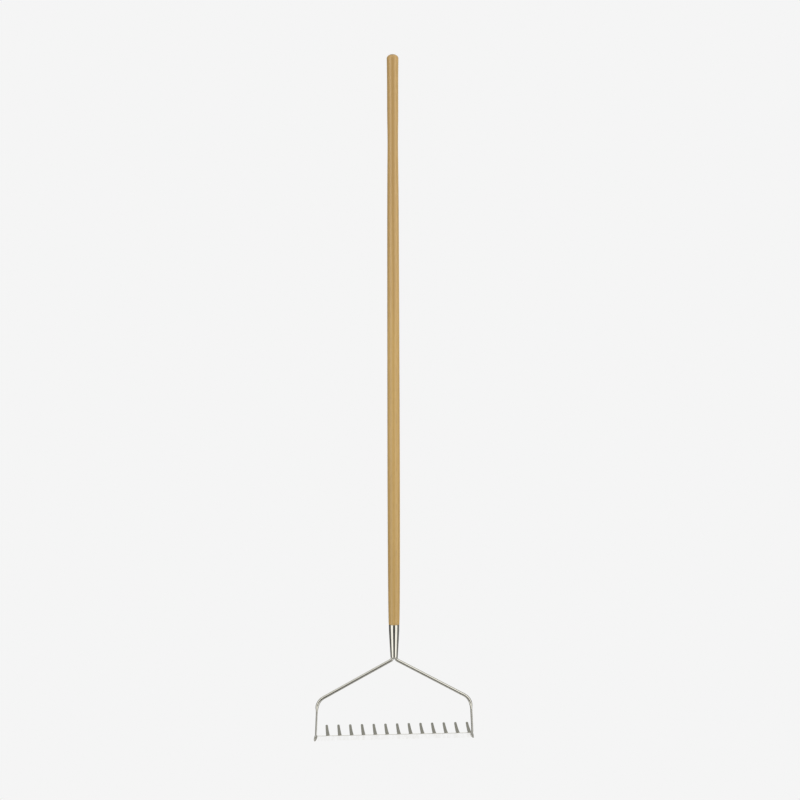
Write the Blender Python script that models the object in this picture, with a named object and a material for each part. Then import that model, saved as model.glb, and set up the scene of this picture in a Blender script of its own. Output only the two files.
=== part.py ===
"""Long-handled bow rake: a turned ash handle, a conical steel socket, a bow of two bent rods,
and a head bar with thirteen welded tines.

Lengths are in metres. Heights are counted up from the underside of the head, the handle stands
along +Z, the head runs along X, and the tines reach out along +Y. The whole rake then hangs from
an empty, so that the origin is on the handle's axis where a rack clip holds it.
"""
import math

import bmesh
import bpy
from mathutils import Vector

MM = 0.001
TURN = 2.0 * math.pi
GAP = 0.3 * MM                      # clearance between pieces that touch

# Whole rake
RAKE_LENGTH = 1700 * MM
CLIP_HEIGHT = 1200 * MM             # height of the rack clip on the handle
ROUND_STEPS = 40                    # facets around the turned pieces

# Socket
SOCKET_TOP = 0.2845
SOCKET_COLLAR = 0.270               # where the straight collar meets the cone
SOCKET_CONE_END = 0.206
SOCKET_BOTTOM = 0.204
SOCKET_MOUTH_RADIUS = 13.0 * MM
SOCKET_COLLAR_RADIUS = 12.85 * MM
SOCKET_END_RADIUS = 9.1 * MM
SOCKET_WALL = 1.4 * MM
SOCKET_EDGE = 0.4 * MM              # rounding of the mouth and of the bottom edge

# Handle: radius of the shaft at heights along it, from the socket up to the domed end
SHAFT_STATIONS = (
    (SOCKET_TOP + GAP, 13.3 * MM),
    (0.3000, 13.7 * MM),
    (0.3500, 14.4 * MM),
    (0.4500, 15.0 * MM),
    (0.6500, 15.4 * MM),
    (0.9200, 15.1 * MM),
    (1.1000, 14.8 * MM),
    (1.3000, 14.3 * MM),
    (1.4000, 13.7 * MM),
    (1.4820, 13.1 * MM),
    (1.5500, 13.8 * MM),
    (1.6400, 14.0 * MM),
    (1.6895, 14.6 * MM),
)
SHAFT_SPACING = 30 * MM             # height between turned sections
DOME_HEIGHT = RAKE_LENGTH - SHAFT_STATIONS[-1][0]
DOME_SECTIONS = 6
TENON_BOTTOM = 0.245

# Screw at the back of the socket
SCREW_HEIGHT = 0.2775
SCREW_SHANK_RADIUS = 2.0 * MM
SCREW_HEAD_RADIUS = 4.2 * MM
SCREW_HEAD_HEIGHT = 2.2 * MM
SCREW_TIP_Y = -6.0 * MM
SCREW_SEAT_Y = SOCKET_MOUTH_RADIUS + GAP
SCREW_SLOT_WIDTH = 1.0 * MM
SCREW_SLOT_DEPTH = 0.9 * MM
SCREW_POINT = 3.0 * MM              # length of the tapered point
SCREW_TIP_RADIUS = 0.3 * MM
SCREW_STEPS = 20
DOME_RINGS = 4                      # rings on the domed head
HOLE_STEPS = 24
HOLE_RADIUS = SCREW_SHANK_RADIUS + GAP
HOLE_REACH = 5 * MM                 # how far the drill starts outside the socket

# Bow: two rods that leave the socket side by side
ROD_RADIUS = 4.0 * MM
TANG_RADIUS = 3.6 * MM
TANG_TOP = 0.238
TANG_X = TANG_RADIUS + GAP / 2
ROD_X = ROD_RADIUS + GAP / 2
SPLIT_CORNER = Vector((ROD_X, 0, 0.1986))
SPLIT_BEND_RADIUS = 9.0 * MM
SPLIT_STEPS = 5
BOW_CORNER = Vector((0.1910, 0, 0.0990))
BOW_BEND_RADIUS = 32.0 * MM
BOW_STEPS = 10
FOOT_TOP = Vector((0.1945, 0, 0.018))
FLAT_TOP = 0.088                    # where the round rod starts to be flattened
FLAT_FULL = 0.072                   # where it is fully flat
BLADE_HEIGHTS = (0.077, FLAT_FULL, 0.054, 0.036, FOOT_TOP.z)
BLADE_THICKNESS = 4.1 * MM
BLADE_DEPTH = 16.0 * MM
BLADE_CENTRE_Y = -2.2 * MM
BLADE_SQUARENESS = 3.2              # 2 is an ellipse, more is a bar with rounded edges
ROD_POINTS = 16                     # points around each rod section

# Foot of the rod, which laps the front of the bar and points outward:
# height, centre in X and Y, width in X and depth in Y
FOOT_SECTIONS = (
    (0.0150, 194.2 * MM, -0.7 * MM, 5.2 * MM, 12.4 * MM),
    (0.0120, 193.6 * MM, 0.6 * MM, 7.0 * MM, 10.0 * MM),
    (0.0070, 195.0 * MM, 1.8 * MM, 7.2 * MM, 7.6 * MM),
    (0.0015, 196.9 * MM, 2.7 * MM, 5.0 * MM, 5.8 * MM),
    (0.0000, 197.2 * MM, 2.9 * MM, 3.8 * MM, 4.6 * MM),
)

# Head bar
BAR_HALF_LENGTH = 199.5 * MM        # along its lower edge
BAR_END_SLOPE = 2.0 * MM            # how much shorter the upper edge is, at each end
BAR_HEIGHT = 12.5 * MM
BAR_THICKNESS = 4.0 * MM
BAR_FRONT_Y = 6.0 * MM
BAR_BACK_Y = BAR_FRONT_Y + BAR_THICKNESS
BAR_EDGE = 0.7 * MM

# Tines
TINE_COUNT = 13
TINE_PITCH = 29.5 * MM
FIRST_TINE_X = -163.5 * MM          # the bar is bare for one more pitch at its left end
TINE_LENGTH = 57.0 * MM
TINE_ROOT_SLOPE = math.radians(8)   # the tine leaves the bar almost square to the handle
TINE_TIP_SLOPE = math.radians(30)   # and curls up towards it
TINE_ROOT_WIDTH = 9.4 * MM
TINE_TIP_WIDTH = 5.8 * MM
TINE_FLARE = 0.9 * MM               # widening of the weld on each side of the root
TINE_FLARE_LENGTH = 5.0 * MM
TINE_ROOT_THICKNESS = 3.6 * MM
TINE_TIP_THICKNESS = 2.8 * MM
TINE_NOSE = 2.9 * MM                # length of the rounded nose
TINE_SQUARENESS = 3.4
TINE_POINTS = 12                    # points around each tine section
TINE_SHANK_SECTIONS = 6


def clear_scene():
    for obj in list(bpy.data.objects):
        bpy.data.objects.remove(obj, do_unlink=True)


def make_material(name, colour, roughness, metallic):
    material = bpy.data.materials.new(name)
    material.use_nodes = True
    shader = material.node_tree.nodes["Principled BSDF"]
    shader.inputs["Base Color"].default_value = (*colour, 1.0)
    shader.inputs["Roughness"].default_value = roughness
    shader.inputs["Metallic"].default_value = metallic
    return material


def add_object(name, bm, material, rake, sharp_angle=40):
    """Turn a bmesh into a smooth-shaded object of the rake."""
    bmesh.ops.recalc_face_normals(bm, faces=bm.faces)
    mesh = bpy.data.meshes.new(name)
    bm.to_mesh(mesh)
    bm.free()
    mesh.shade_smooth()
    mesh.set_sharp_from_angle(angle=math.radians(sharp_angle))
    mesh.materials.append(material)
    obj = bpy.data.objects.new(name, mesh)
    bpy.context.collection.objects.link(obj)
    obj.parent = rake
    return obj


def add_loft(bm, rings):
    """Skin a row of closed sections that all have the same number of points, and cap both ends."""
    loops = [[bm.verts.new(point) for point in ring] for ring in rings]
    count = len(loops[0])
    for lower, upper in zip(loops, loops[1:]):
        for i in range(count):
            j = (i + 1) % count
            bm.faces.new((lower[i], lower[j], upper[j], upper[i]))
    bm.faces.new(loops[0])
    bm.faces.new(reversed(loops[-1]))


def flat_oval(width, depth, squareness, count):
    """Closed outline from an ellipse (squareness 2) to a bar with rounded edges (4 and more)."""
    power = 2.0 / squareness
    outline = []
    for i in range(count):
        angle = TURN * (i + 0.5) / count
        c = math.cos(angle)
        s = math.sin(angle)
        outline.append((
            0.5 * width * math.copysign(abs(c) ** power, c),
            0.5 * depth * math.copysign(abs(s) ** power, s),
        ))
    return outline


def blend(a, b, t):
    return a + (b - a) * t


def ease(t):
    """Smooth step from 0 to 1."""
    t = min(max(t, 0.0), 1.0)
    return t * t * (3.0 - 2.0 * t)


def hide_cutter(cutter):
    cutter.hide_render = True
    cutter.display_type = "WIRE"
    return cutter


def make_hole_cutter(name, bottom_y, rake):
    """Cylinder along Y that drills the screw hole from outside the socket to bottom_y."""
    bm = bmesh.new()
    rings = []
    for y in (bottom_y, SOCKET_MOUTH_RADIUS + HOLE_REACH):
        ring = []
        for i in range(HOLE_STEPS):
            angle = TURN * i / HOLE_STEPS
            ring.append(Vector((
                HOLE_RADIUS * math.cos(angle),
                y,
                SCREW_HEIGHT + HOLE_RADIUS * math.sin(angle),
            )))
        rings.append(ring)
    add_loft(bm, rings)
    return hide_cutter(add_object(name, bm, None, rake))


def drill(obj, cutter):
    cut = obj.modifiers.new("screw_hole", "BOOLEAN")
    cut.operation = "DIFFERENCE"
    cut.solver = "EXACT"
    cut.object = cutter


def turn_profile(name, outline, closed, material, rake):
    """Solid of revolution about Z from an outline of (radius, height), listed down its outer side."""
    mesh = bpy.data.meshes.new(name)
    points = [(radius, 0.0, height) for radius, height in outline]
    edges = [(i, i + 1) for i in range(len(points) - 1)]
    if closed:
        edges.append((len(points) - 1, 0))
    mesh.from_pydata(points, edges, [])
    mesh.materials.append(material)
    obj = bpy.data.objects.new(name, mesh)
    bpy.context.collection.objects.link(obj)
    obj.parent = rake
    screw = obj.modifiers.new("turn", "SCREW")
    screw.axis = "Z"
    screw.steps = ROUND_STEPS
    screw.render_steps = ROUND_STEPS
    screw.use_merge_vertices = True
    screw.merge_threshold = 0.00001
    screw.use_smooth_shade = True
    return obj


def shaft_radius(height):
    """Radius of the shaft, on one smooth curve through its stations."""
    stations = SHAFT_STATIONS
    last = len(stations) - 1
    k = 0
    while k < last - 1 and height > stations[k + 1][0]:
        k += 1
    h0, r0 = stations[k]
    h1, r1 = stations[k + 1]
    before = stations[max(k - 1, 0)]
    after = stations[min(k + 2, last)]
    slope0 = (r1 - before[1]) / (h1 - before[0])
    slope1 = (after[1] - r0) / (after[0] - h0)
    span = h1 - h0
    t = (height - h0) / span
    return (
        (2 * t**3 - 3 * t**2 + 1) * r0
        + (t**3 - 2 * t**2 + t) * span * slope0
        + (3 * t**2 - 2 * t**3) * r1
        + (t**3 - t**2) * span * slope1
    )


def socket_outer_radius(height):
    if height >= SOCKET_COLLAR:
        t = (height - SOCKET_COLLAR) / (SOCKET_TOP - SOCKET_COLLAR)
        return blend(SOCKET_COLLAR_RADIUS, SOCKET_MOUTH_RADIUS, t)
    t = (height - SOCKET_CONE_END) / (SOCKET_COLLAR - SOCKET_CONE_END)
    return blend(SOCKET_END_RADIUS, SOCKET_COLLAR_RADIUS, t)


def make_handle(material, rake):
    """Turned shaft with a domed end and a tapered tenon below its shoulder."""
    shaft_bottom = SHAFT_STATIONS[0][0]
    shaft_top, dome_radius = SHAFT_STATIONS[-1]
    outline = [(0.0, RAKE_LENGTH)]
    for i in range(1, DOME_SECTIONS):
        angle = 0.25 * TURN * i / DOME_SECTIONS
        outline.append((dome_radius * math.sin(angle), shaft_top + DOME_HEIGHT * math.cos(angle)))
    sections = round((shaft_top - shaft_bottom) / SHAFT_SPACING)
    for i in range(sections + 1):
        height = blend(shaft_top, shaft_bottom, i / sections)
        outline.append((shaft_radius(height), height))
    inset = SOCKET_WALL + GAP
    outline.append((SOCKET_MOUTH_RADIUS - inset, shaft_bottom))
    outline.append((SOCKET_COLLAR_RADIUS - inset, SOCKET_COLLAR))
    outline.append((socket_outer_radius(TENON_BOTTOM) - inset, TENON_BOTTOM))
    outline.append((0.0, TENON_BOTTOM))
    return turn_profile("handle", outline, False, material, rake)


def make_socket(material, rake):
    """Conical tube, open at the mouth and at the end where the rods go in."""
    outer_heights = (SOCKET_TOP - SOCKET_EDGE, SOCKET_COLLAR, SOCKET_CONE_END)
    outline = [(SOCKET_MOUTH_RADIUS - SOCKET_EDGE, SOCKET_TOP)]
    outline += [(socket_outer_radius(height), height) for height in outer_heights]
    outline.append((SOCKET_END_RADIUS - SOCKET_EDGE, SOCKET_BOTTOM))
    outline.append((SOCKET_END_RADIUS - SOCKET_WALL, SOCKET_BOTTOM))
    outline.append((SOCKET_END_RADIUS - SOCKET_WALL, SOCKET_CONE_END))
    outline.append((SOCKET_COLLAR_RADIUS - SOCKET_WALL, SOCKET_COLLAR))
    outline.append((SOCKET_MOUTH_RADIUS - SOCKET_WALL, SOCKET_TOP))
    return turn_profile("socket", outline, True, material, rake)


def make_screw(material, rake):
    """Round-head screw along -Y, with a slot across its head."""
    bm = bmesh.new()
    sections = [
        (SCREW_TIP_RADIUS, SCREW_TIP_Y),
        (SCREW_SHANK_RADIUS, SCREW_TIP_Y + SCREW_POINT),
        (SCREW_SHANK_RADIUS, SCREW_SEAT_Y),
        (SCREW_HEAD_RADIUS, SCREW_SEAT_Y),
    ]
    for i in range(1, DOME_RINGS + 1):
        angle = 0.25 * TURN * i / (DOME_RINGS + 1)
        radius = SCREW_HEAD_RADIUS * math.cos(angle)
        sections.append((radius, SCREW_SEAT_Y + SCREW_HEAD_HEIGHT * math.sin(angle)))
    rings = []
    for radius, y in sections:
        ring = []
        for i in range(SCREW_STEPS):
            angle = TURN * i / SCREW_STEPS
            ring.append(Vector((
                radius * math.cos(angle),
                y,
                SCREW_HEIGHT + radius * math.sin(angle),
            )))
        rings.append(ring)
    add_loft(bm, rings)
    screw = add_object("socket_screw", bm, material, rake, 30)

    slot = bmesh.new()
    bmesh.ops.create_cube(slot, size=1.0)
    size = (3 * SCREW_HEAD_RADIUS, 2 * SCREW_SLOT_DEPTH, SCREW_SLOT_WIDTH)
    bmesh.ops.scale(slot, vec=size, verts=slot.verts)
    centre = (0, SCREW_SEAT_Y + SCREW_HEAD_HEIGHT, SCREW_HEIGHT)
    bmesh.ops.translate(slot, vec=centre, verts=slot.verts)
    drill(screw, hide_cutter(add_object("slot_cutter", slot, None, rake)))


def rounded_corner(before, corner, after, radius, steps):
    """Points and directions along the arc that rounds a corner of the rod's centreline."""
    incoming = (corner - before).normalized()
    outgoing = (after - corner).normalized()
    turn = incoming.angle(outgoing)
    start = corner - incoming * radius * math.tan(turn / 2)
    inward = (outgoing - incoming * incoming.dot(outgoing)).normalized()
    stations = []
    for i in range(steps + 1):
        angle = turn * i / steps
        point = start + incoming * radius * math.sin(angle) + inward * radius * (1 - math.cos(angle))
        direction = incoming * math.cos(angle) + inward * math.sin(angle)
        stations.append((point, direction))
    return stations


def arm_stations():
    """Centre points and directions of one rod, from its tang down to the top of its foot."""
    down = Vector((0, 0, -1))
    stations = [
        (Vector((TANG_X, 0, TANG_TOP)), down),
        (Vector((TANG_X, 0, SOCKET_BOTTOM + 1 * MM)), down),
    ]
    above = Vector((ROD_X, 0, SOCKET_BOTTOM))
    stations += rounded_corner(above, SPLIT_CORNER, BOW_CORNER, SPLIT_BEND_RADIUS, SPLIT_STEPS)
    stations += rounded_corner(SPLIT_CORNER, BOW_CORNER, FOOT_TOP, BOW_BEND_RADIUS, BOW_STEPS)
    last = (FOOT_TOP - BOW_CORNER).normalized()
    for height in BLADE_HEIGHTS:
        t = (BOW_CORNER.z - height) / (BOW_CORNER.z - FOOT_TOP.z)
        stations.append((BOW_CORNER.lerp(FOOT_TOP, t), last))
    return stations


def make_arm(name, side, material, rake):
    """One rod of the bow: round, then flattened into a blade, then splayed into a foot."""
    rings = []
    for point, direction in arm_stations():
        across = Vector((0, 1, 0)).cross(direction).normalized()
        flat = 1.0 - ease((point.z - FLAT_FULL) / (FLAT_TOP - FLAT_FULL))
        radius = TANG_RADIUS if point.z > SOCKET_BOTTOM else ROD_RADIUS
        width = blend(2 * radius, BLADE_THICKNESS, flat)
        depth = blend(2 * radius, BLADE_DEPTH, flat)
        centre = point + Vector((0, blend(0.0, BLADE_CENTRE_Y, flat), 0))
        outline = flat_oval(width, depth, blend(2.0, BLADE_SQUARENESS, flat), ROD_POINTS)
        rings.append([centre + across * u + Vector((0, v, 0)) for u, v in outline])
    for height, x, y, width, depth in FOOT_SECTIONS:
        outline = flat_oval(width, depth, BLADE_SQUARENESS, ROD_POINTS)
        rings.append([Vector((x - u, y + v, height)) for u, v in outline])
    bm = bmesh.new()
    add_loft(bm, [[Vector((side * p.x, p.y, p.z)) for p in ring] for ring in rings])
    return add_object(name, bm, material, rake)


def make_bar(material, rake):
    """Flat strip with slanted ends, bevelled all round."""
    upper = BAR_HALF_LENGTH - BAR_END_SLOPE
    corners = (
        (-BAR_HALF_LENGTH, 0.0),
        (BAR_HALF_LENGTH, 0.0),
        (upper, BAR_HEIGHT),
        (-upper, BAR_HEIGHT),
    )
    bm = bmesh.new()
    face = bm.faces.new([bm.verts.new((x, BAR_FRONT_Y, z)) for x, z in corners])
    extruded = bmesh.ops.extrude_face_region(bm, geom=[face])
    back = [item for item in extruded["geom"] if isinstance(item, bmesh.types.BMVert)]
    bmesh.ops.translate(bm, vec=(0, BAR_THICKNESS, 0), verts=back)
    bar = add_object("head_bar", bm, material, rake, 25)
    bevel = bar.modifiers.new("edges", "BEVEL")
    bevel.width = BAR_EDGE
    bevel.segments = 2
    bevel.limit_method = "ANGLE"
    return bar


def tine_section(distance):
    """Half width, half thickness, and the scale of the nose, at a distance along the tine."""
    t = distance / TINE_LENGTH
    half_width = 0.5 * blend(TINE_ROOT_WIDTH, TINE_TIP_WIDTH, t)
    half_thickness = 0.5 * blend(TINE_ROOT_THICKNESS, TINE_TIP_THICKNESS, t)
    if distance < TINE_FLARE_LENGTH:
        u = 1.0 - distance / TINE_FLARE_LENGTH
        half_width += TINE_FLARE * (1.0 - math.sqrt(1.0 - u * u))
    left = TINE_LENGTH - distance
    if left < TINE_NOSE:
        u = 1.0 - left / TINE_NOSE
        nose = math.sqrt(max(1.0 - u * u, 0.0))
        half_width *= max(nose, 0.12)
        half_thickness *= blend(0.45, 1.0, nose)
    return half_width, half_thickness


def make_tine(index, material, rake):
    """Flat tine with rounded edges, curving up from the back of the bar to a rounded tip."""
    x = FIRST_TINE_X + index * TINE_PITCH
    nose = [TINE_LENGTH - TINE_NOSE * k for k in (1.0, 0.6, 0.3, 0.1, 0.0)]
    flare = [TINE_FLARE_LENGTH * k for k in (0.0, 0.15, 0.4, 1.0)]
    steps = TINE_SHANK_SECTIONS
    shank = [blend(flare[-1], nose[0], k / steps) for k in range(1, steps)]
    y = BAR_BACK_Y + GAP
    z = BAR_HEIGHT - 0.5 * TINE_ROOT_THICKNESS - 0.1 * MM
    before = 0.0
    rings = []
    for distance in flare + shank + nose:
        middle = 0.5 * (before + distance) / TINE_LENGTH
        slope = blend(TINE_ROOT_SLOPE, TINE_TIP_SLOPE, middle)
        y += (distance - before) * math.cos(slope)
        z += (distance - before) * math.sin(slope)
        before = distance
        # The root face lies flat against the bar, whatever the slope of the tine
        here = blend(TINE_ROOT_SLOPE, TINE_TIP_SLOPE, distance / TINE_LENGTH) if distance else 0.0
        half_width, half_thickness = tine_section(distance)
        outline = flat_oval(2 * half_width, 2 * half_thickness, TINE_SQUARENESS, TINE_POINTS)
        rings.append([
            Vector((x + u, y - v * math.sin(here), z + v * math.cos(here)))
            for u, v in outline
        ])
    bm = bmesh.new()
    add_loft(bm, rings)
    return add_object(f"tine_{index + 1:02d}", bm, material, rake)


def main():
    clear_scene()
    rake = bpy.data.objects.new("rake", None)
    bpy.context.collection.objects.link(rake)
    rake.location.z = -CLIP_HEIGHT

    ash = make_material("ash", (0.50, 0.335, 0.125), 0.42, 0.0)
    polished = make_material("polished_steel", (0.74, 0.73, 0.70), 0.08, 1.0)
    satin = make_material("satin_steel", (0.55, 0.55, 0.52), 0.28, 1.0)

    handle = make_handle(ash, rake)
    socket = make_socket(polished, rake)
    drill(handle, make_hole_cutter("handle_cutter", SCREW_TIP_Y - GAP, rake))
    drill(socket, make_hole_cutter("socket_cutter", 0.0, rake))
    make_screw(satin, rake)

    make_arm("arm_left", -1, polished, rake)
    make_arm("arm_right", 1, polished, rake)
    make_bar(polished, rake)
    for index in range(TINE_COUNT):
        make_tine(index, satin, rake)


main()
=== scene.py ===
"""Looks of the bow rake: finely turned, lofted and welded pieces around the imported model.

Lengths are in metres. Heights are counted up from the underside of the head, as the model's own
dimensions are, and each finished piece is then lowered to where the frame has that underside.
"""

import math

import bmesh
import bpy
from mathutils import Matrix, Vector, noise


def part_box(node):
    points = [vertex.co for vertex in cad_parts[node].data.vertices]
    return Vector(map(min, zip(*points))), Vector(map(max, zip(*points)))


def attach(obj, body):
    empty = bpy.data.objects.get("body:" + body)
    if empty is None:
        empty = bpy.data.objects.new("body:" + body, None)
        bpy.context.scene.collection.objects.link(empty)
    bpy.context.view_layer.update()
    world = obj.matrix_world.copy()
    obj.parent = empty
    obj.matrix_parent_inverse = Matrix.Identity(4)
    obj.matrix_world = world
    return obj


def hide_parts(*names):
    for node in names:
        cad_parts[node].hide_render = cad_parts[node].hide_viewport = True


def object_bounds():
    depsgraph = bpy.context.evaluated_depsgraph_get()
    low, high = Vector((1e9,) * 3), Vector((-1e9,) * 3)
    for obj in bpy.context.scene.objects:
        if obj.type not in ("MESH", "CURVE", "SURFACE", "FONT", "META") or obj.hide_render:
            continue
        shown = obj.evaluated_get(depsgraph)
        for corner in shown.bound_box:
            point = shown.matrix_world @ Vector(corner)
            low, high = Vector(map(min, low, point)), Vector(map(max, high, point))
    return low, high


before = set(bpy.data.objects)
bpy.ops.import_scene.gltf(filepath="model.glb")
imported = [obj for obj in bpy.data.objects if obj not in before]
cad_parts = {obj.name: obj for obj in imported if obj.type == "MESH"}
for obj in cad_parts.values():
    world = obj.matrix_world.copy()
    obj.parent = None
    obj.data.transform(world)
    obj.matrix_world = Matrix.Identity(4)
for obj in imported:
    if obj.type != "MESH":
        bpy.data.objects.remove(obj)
CAD_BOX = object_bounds()

MM = 0.001
TURN = 2.0 * math.pi
BODY = "root"
GAP = 0.3 * MM                      # clearance between pieces that touch
TURNED_SHARP = 35                   # edges that turn by more degrees than this stay sharp
LOFT_SHARP = 50
BAR_SHARP = 60
WELD_SHARP = 60

# Places read from the frame
HEAD_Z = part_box("head_bar")[0].z
HANDLE_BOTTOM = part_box("handle")[0].z - HEAD_Z
HANDLE_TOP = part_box("handle")[1].z - HEAD_Z
SOCKET_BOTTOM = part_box("socket")[0].z - HEAD_Z
SOCKET_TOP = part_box("socket")[1].z - HEAD_Z
TANG_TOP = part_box("arm_left")[1].z - HEAD_Z
BAR_HALF_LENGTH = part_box("head_bar")[1].x
BAR_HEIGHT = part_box("head_bar")[1].z - HEAD_Z
BAR_FRONT_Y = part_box("head_bar")[0].y
BAR_BACK_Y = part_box("head_bar")[1].y
SCREW_HEIGHT = 0.5 * (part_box("socket_screw")[0].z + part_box("socket_screw")[1].z) - HEAD_Z
SCREW_TIP_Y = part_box("socket_screw")[0].y
SCREW_TOP_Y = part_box("socket_screw")[1].y
TINE_NODES = sorted(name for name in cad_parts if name.startswith("tine_"))

# Handle: radius of the shaft at heights along it, from the socket up to the domed end
SHAFT_STATIONS = (
    (SOCKET_TOP + GAP, 13.3 * MM),
    (0.3000, 13.7 * MM),
    (0.3500, 14.4 * MM),
    (0.4500, 15.0 * MM),
    (0.6500, 15.4 * MM),
    (0.9200, 15.1 * MM),
    (1.1000, 14.8 * MM),
    (1.3000, 14.3 * MM),
    (1.4000, 13.7 * MM),
    (1.4820, 13.1 * MM),
    (1.5500, 13.8 * MM),
    (1.6400, 14.0 * MM),
    (1.6895, 14.6 * MM),
)
SHAFT_SPACING = 8 * MM
SHAFT_SEGMENTS = 96
SHAFT_WAVE = 0.05 * MM              # how far hand sanding leaves the shaft from round
SHAFT_WAVE_PER_METRE = 9.0
SHOULDER_ROUND = 0.5 * MM
DOME_SECTIONS = 18                  # sections of the domed end

# Socket
SOCKET_COLLAR = 0.270               # where the straight collar meets the cone
SOCKET_MOUTH_RADIUS = 13.0 * MM
SOCKET_COLLAR_RADIUS = 12.85 * MM
SOCKET_END_RADIUS = 9.1 * MM
SOCKET_WALL = 1.4 * MM
SOCKET_EDGE = 0.4 * MM
SOCKET_CONE_END = SOCKET_BOTTOM + 2 * MM
SOCKET_BEND = (                     # soft bend from collar to cone: radius and height from their corner
    (0.02 * MM, 1.2 * MM),
    (-0.02 * MM, -0.4 * MM),
    (-0.12 * MM, -2.0 * MM),
)
SOCKET_SEGMENTS = 128
EDGE_STEPS = 4                      # steps in each small rounding

# Screw at the back of the socket
SCREW_SHANK_RADIUS = 2.0 * MM
SCREW_HEAD_RADIUS = 4.2 * MM
SCREW_SEAT_Y = SOCKET_MOUTH_RADIUS + GAP
SCREW_TIP_RADIUS = 0.3 * MM
SCREW_POINT = 3.0 * MM              # length of the tapered point
SCREW_HEAD_EDGE = 0.1 * MM
SCREW_SLOT_WIDTH = 1.0 * MM
SCREW_SLOT_DEPTH = 0.9 * MM
SCREW_SEGMENTS = 64
SCREW_RINGS = 12                    # rings on the domed head
HOLE_RADIUS = SCREW_SHANK_RADIUS + GAP

# Bow: two rods, flattened into blades near the bar
ROD_RADIUS = 4.0 * MM
TANG_RADIUS = 3.6 * MM
TANG_X = TANG_RADIUS + GAP / 2
TANG_BOTTOM = SOCKET_BOTTOM + 1 * MM
ROD_X = ROD_RADIUS + GAP / 2
SPLIT_CORNER = Vector((ROD_X, 0, 0.1986))
SPLIT_BEND_RADIUS = 9.0 * MM
SPLIT_STEPS = 14
BOW_CORNER = Vector((0.1910, 0, 0.0990))
BOW_BEND_RADIUS = 32.0 * MM
BOW_STEPS = 28
FOOT_TOP_X = 194.5 * MM
FOOT_TOP_HEIGHT = 0.0180
FOOT_TOP = Vector((FOOT_TOP_X, 0, FOOT_TOP_HEIGHT))
BLADE_TOP = 0.079                   # first section below the bend
FLAT_TOP = 0.088                    # where the round rod starts to be flattened
FLAT_FULL = 0.072                   # where it is fully flat
BLADE_STEPS = 40
BLADE_THICKNESS = 4.1 * MM
BLADE_DEPTH = 16.0 * MM
BLADE_CENTRE_Y = -2.2 * MM
BLADE_SQUARENESS = 3.2              # 2 is an ellipse, more is a bar with rounded edges
ROD_POINTS = 48                     # points around each section
FOOT_SECTIONS = (                   # height, centre in X and Y, width in X and depth in Y
    (FOOT_TOP_HEIGHT, FOOT_TOP_X, BLADE_CENTRE_Y, BLADE_THICKNESS, BLADE_DEPTH),
    (0.0150, 194.2 * MM, -0.7 * MM, 5.2 * MM, 12.4 * MM),
    (0.0120, 193.6 * MM, 0.6 * MM, 7.0 * MM, 10.0 * MM),
    (0.0070, 195.0 * MM, 1.8 * MM, 7.2 * MM, 7.6 * MM),
    (0.0015, 196.9 * MM, 2.7 * MM, 5.0 * MM, 5.8 * MM),
    (0.0000, 197.2 * MM, 2.9 * MM, 3.8 * MM, 4.6 * MM),
)
FOOT_STEPS = 6                      # sections between two of those

# Head bar
BAR_END_SLOPE = 2.0 * MM
BAR_EDGE = 0.7 * MM
BAR_EDGE_STEPS = 4

# Tines
TINE_LENGTH = 57.0 * MM
TINE_ROOT_SLOPE = math.radians(8)
TINE_TIP_SLOPE = math.radians(30)
TINE_ROOT_WIDTH = 9.4 * MM
TINE_TIP_WIDTH = 5.8 * MM
TINE_FLARE = 0.9 * MM               # widening on each side of the root
TINE_FLARE_LENGTH = 5.0 * MM
TINE_ROOT_THICKNESS = 3.6 * MM
TINE_TIP_THICKNESS = 2.8 * MM
TINE_NOSE = 2.9 * MM                # length of the rounded nose
TINE_END_WIDTH = 0.12               # shares of the width and the thickness left at its very end
TINE_END_THICKNESS = 0.45
TINE_BELOW_EDGE = 0.1 * MM          # how far its root lies under the bar's upper edge
TINE_SQUARENESS = 3.4
TINE_POINTS = 32                    # points around each section
TINE_STEPS = 34                     # sections between the flare and the nose
NOSE_STEPS = 10
FLARE_STEPS = 8

# Welds
BEAD_RADIUS = 0.8 * MM
BEAD_OFF_BAR = 0.25 * BEAD_RADIUS   # how far the middle of the bead is from the bar
BEAD_POINTS = 12
BEAD_STEPS = 56
BEAD_RIPPLE = 0.22                  # share of the bead's radius
BEAD_RIPPLES = 14                   # scales of metal round one tine
FOOT_BEAD_RADIUS = 1.2 * MM
FOOT_BEAD_Y = BAR_FRONT_Y - 0.3 * MM
FOOT_BEAD_ENDS = (                  # section of the foot at each end, and how much higher the bead ends
    (FOOT_SECTIONS[2], -0.6 * MM),
    (FOOT_SECTIONS[4], 0.2 * MM),
)
FOOT_BEAD_STEPS = 30
FOOT_BEAD_RIPPLES = 8
FOOT_BEAD_BLUNTNESS = 6             # 2 tapers it like an ellipse, more keeps it thick up to its ends
FOOT_BEAD_END = 0.1                 # share of the radius left at the ends

# Fillet that closes the socket's end around the two rods
FILLET_TOP = SOCKET_BOTTOM + 0.4 * MM
FILLET_HEIGHT = 4.0 * MM
FILLET_TOP_WIDTH = 2 * SOCKET_END_RADIUS - 1.0 * MM
FILLET_LOW_WIDTH = 2 * (ROD_X + ROD_RADIUS) + 0.3 * MM
FILLET_LOW_DEPTH = 2 * ROD_RADIUS + 0.4 * MM
FILLET_SQUARENESS = 2.6
FILLET_LUMP = 0.14 * MM
FILLET_LUMPS_PER_METRE = 260.0
FILLET_STEPS = 10
FILLET_POINTS = 96

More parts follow.
